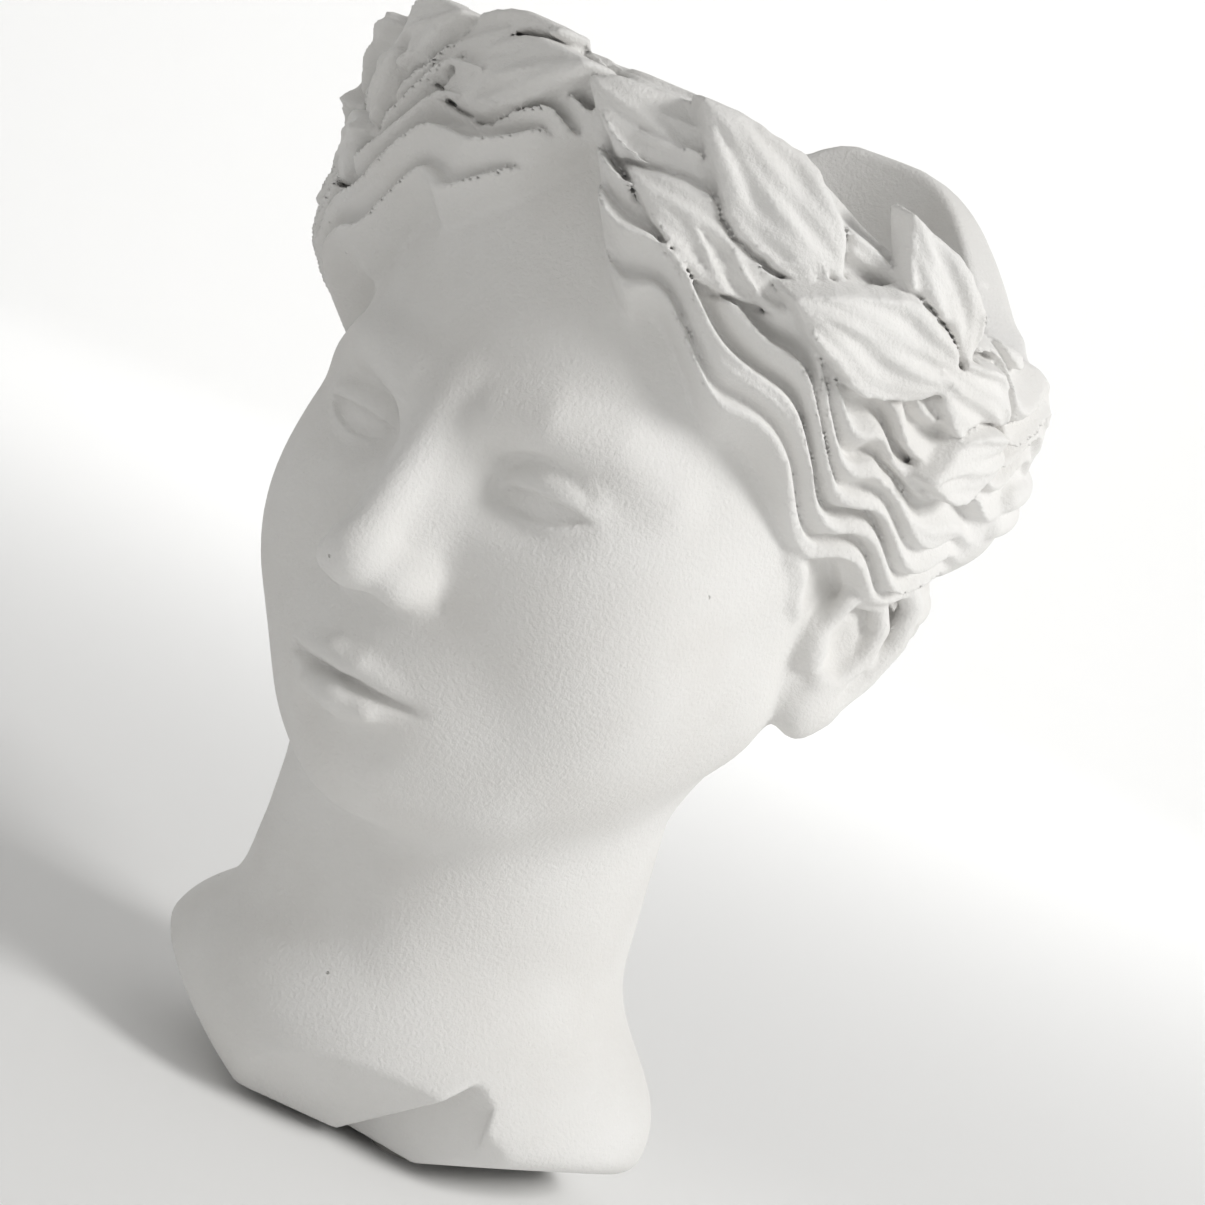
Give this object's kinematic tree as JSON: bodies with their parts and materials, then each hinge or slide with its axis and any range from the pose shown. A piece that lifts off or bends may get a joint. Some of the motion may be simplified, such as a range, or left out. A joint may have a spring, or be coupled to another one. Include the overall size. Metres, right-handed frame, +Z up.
{
  "type": "sculptural head planter",
  "caption": "White cast head-shaped planter with wavy parted hair, a leaf wreath round the open top, a thick neck, a faceted bust base, a drain plug and foot pads.",
  "frame": {"origin": "on the ground under the middle of the whole outline, at the underside of the foot pads", "axes": "+Z up, the face looks toward -Y, the left ear of the head is toward +X"},
  "size_m": [0.179, 0.1904, 0.2626],
  "materials": {
    "cast_stone": "matte white cast stone with a fine grain and a few pinholes",
    "plug_rubber": "matte dark grey rubber",
    "pad_rubber": "matte light grey rubber"
  },
  "bodies": {
    "casting": {"cast_body": "cast_stone", "foot_pad_1": "pad_rubber", "foot_pad_2": "pad_rubber", "foot_pad_3": "pad_rubber", "foot_pad_4": "pad_rubber"},
    "plug": {"drain_plug": "plug_rubber"}
  },
  "joints": [
    {"name": "plug_lift", "type": "slide", "parent": "casting", "child": "plug", "axis": [0, 0, 1], "range_m": [0, 0.03]}
  ]
}
